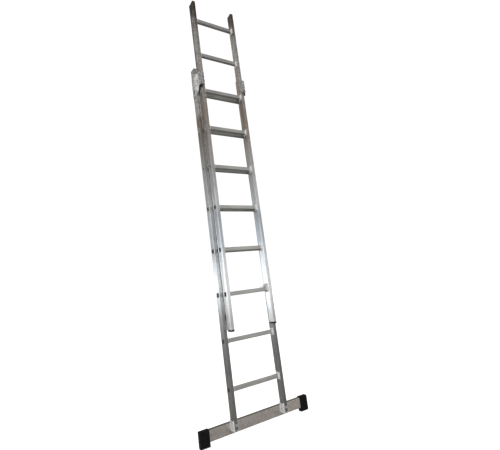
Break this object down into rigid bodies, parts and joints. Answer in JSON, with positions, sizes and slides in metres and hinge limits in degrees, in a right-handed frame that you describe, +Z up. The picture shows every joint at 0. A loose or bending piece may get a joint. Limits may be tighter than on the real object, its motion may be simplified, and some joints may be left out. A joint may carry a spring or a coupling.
{
  "type": "extension ladder",
  "caption": "Two-section aluminium extension ladder with square rungs, a stabiliser bar with rubber foot caps, top guides and swinging rung hooks.",
  "frame": {"origin": "on the floor under the foot caps, midway between the stiles and midway between the ladder's front and back, with the ladder stood upright", "axes": "+X along the rungs to the right of someone about to climb, +Y from the climbing side to the wall side, +Z up the stiles"},
  "size_m": [0.788, 0.1436, 2.937],
  "materials": {
    "aluminium": "mill finish, drawn along the tube",
    "rung_aluminium": "fluted, lightly brushed",
    "zinc_sheet": "bright zinc-plated sheet",
    "fastener": "zinc plated",
    "rivet": "satin",
    "hook": "grey zinc",
    "black_rubber": "moulded, matte",
    "black_plastic": "moulded, matte"
  },
  "bodies": {
    "base_section": {"base_left_stile": "aluminium", "base_left_top_cap": "black_plastic", "left_foot_cap": "black_rubber", "left_outer_plate": "zinc_sheet", "left_inner_plate": "zinc_sheet", "left_top_guide": "zinc_sheet", "left_guide_pad": "black_plastic", "base_right_stile": "aluminium", "base_right_top_cap": "black_plastic", "right_foot_cap": "black_rubber", "right_outer_plate": "zinc_sheet", "right_inner_plate": "zinc_sheet", "right_top_guide": "zinc_sheet", "right_guide_pad": "black_plastic", "base_rung_1": "rung_aluminium", "base_rung_2": "rung_aluminium", "base_rung_3": "rung_aluminium", "base_rung_4": "rung_aluminium", "base_rung_5": "rung_aluminium", "base_rung_6": "rung_aluminium", "base_rung_7": "rung_aluminium", "base_rung_8": "rung_aluminium", "stabiliser_bar": "aluminium", "cross_bolts": "fastener", "cross_nuts": "fastener", "bar_bolts": "fastener", "bar_nuts": "fastener", "guide_rivets": "rivet"},
    "fly_section": {"fly_left_stile": "aluminium", "fly_left_top_cap": "black_plastic", "fly_left_bottom_cap": "black_plastic", "left_glide_block": "black_plastic", "left_hook_plate": "zinc_sheet", "left_hook_pin": "fastener", "fly_right_stile": "aluminium", "fly_right_top_cap": "black_plastic", "fly_right_bottom_cap": "black_plastic", "right_glide_block": "black_plastic", "right_hook_plate": "zinc_sheet", "right_hook_pin": "fastener", "fly_rung_1": "rung_aluminium", "fly_rung_2": "rung_aluminium", "fly_rung_3": "rung_aluminium", "fly_rung_4": "rung_aluminium", "fly_rung_5": "rung_aluminium", "fly_rung_6": "rung_aluminium", "fly_rung_7": "rung_aluminium", "fly_rung_8": "rung_aluminium", "glide_rivets": "rivet", "hook_rivets": "rivet"},
    "left_hook": {"left_rung_hook": "hook"},
    "right_hook": {"right_rung_hook": "hook"}
  },
  "joints": [
    {"name": "fly_slide", "type": "slide", "parent": "base_section", "child": "fly_section", "axis": [0, 0, 1], "range_m": [-0.56, 0.84]},
    {"name": "left_hook_swing", "type": "hinge", "parent": "fly_section", "child": "left_hook", "pos_m": [-0.132, -0.0238, 0.855], "axis": [1, 0, 0], "range_deg": [0, 112]},
    {"name": "right_hook_swing", "type": "hinge", "parent": "fly_section", "child": "right_hook", "pos_m": [0.132, -0.0238, 0.855], "axis": [1, 0, 0], "range_deg": [0, 112]}
  ]
}
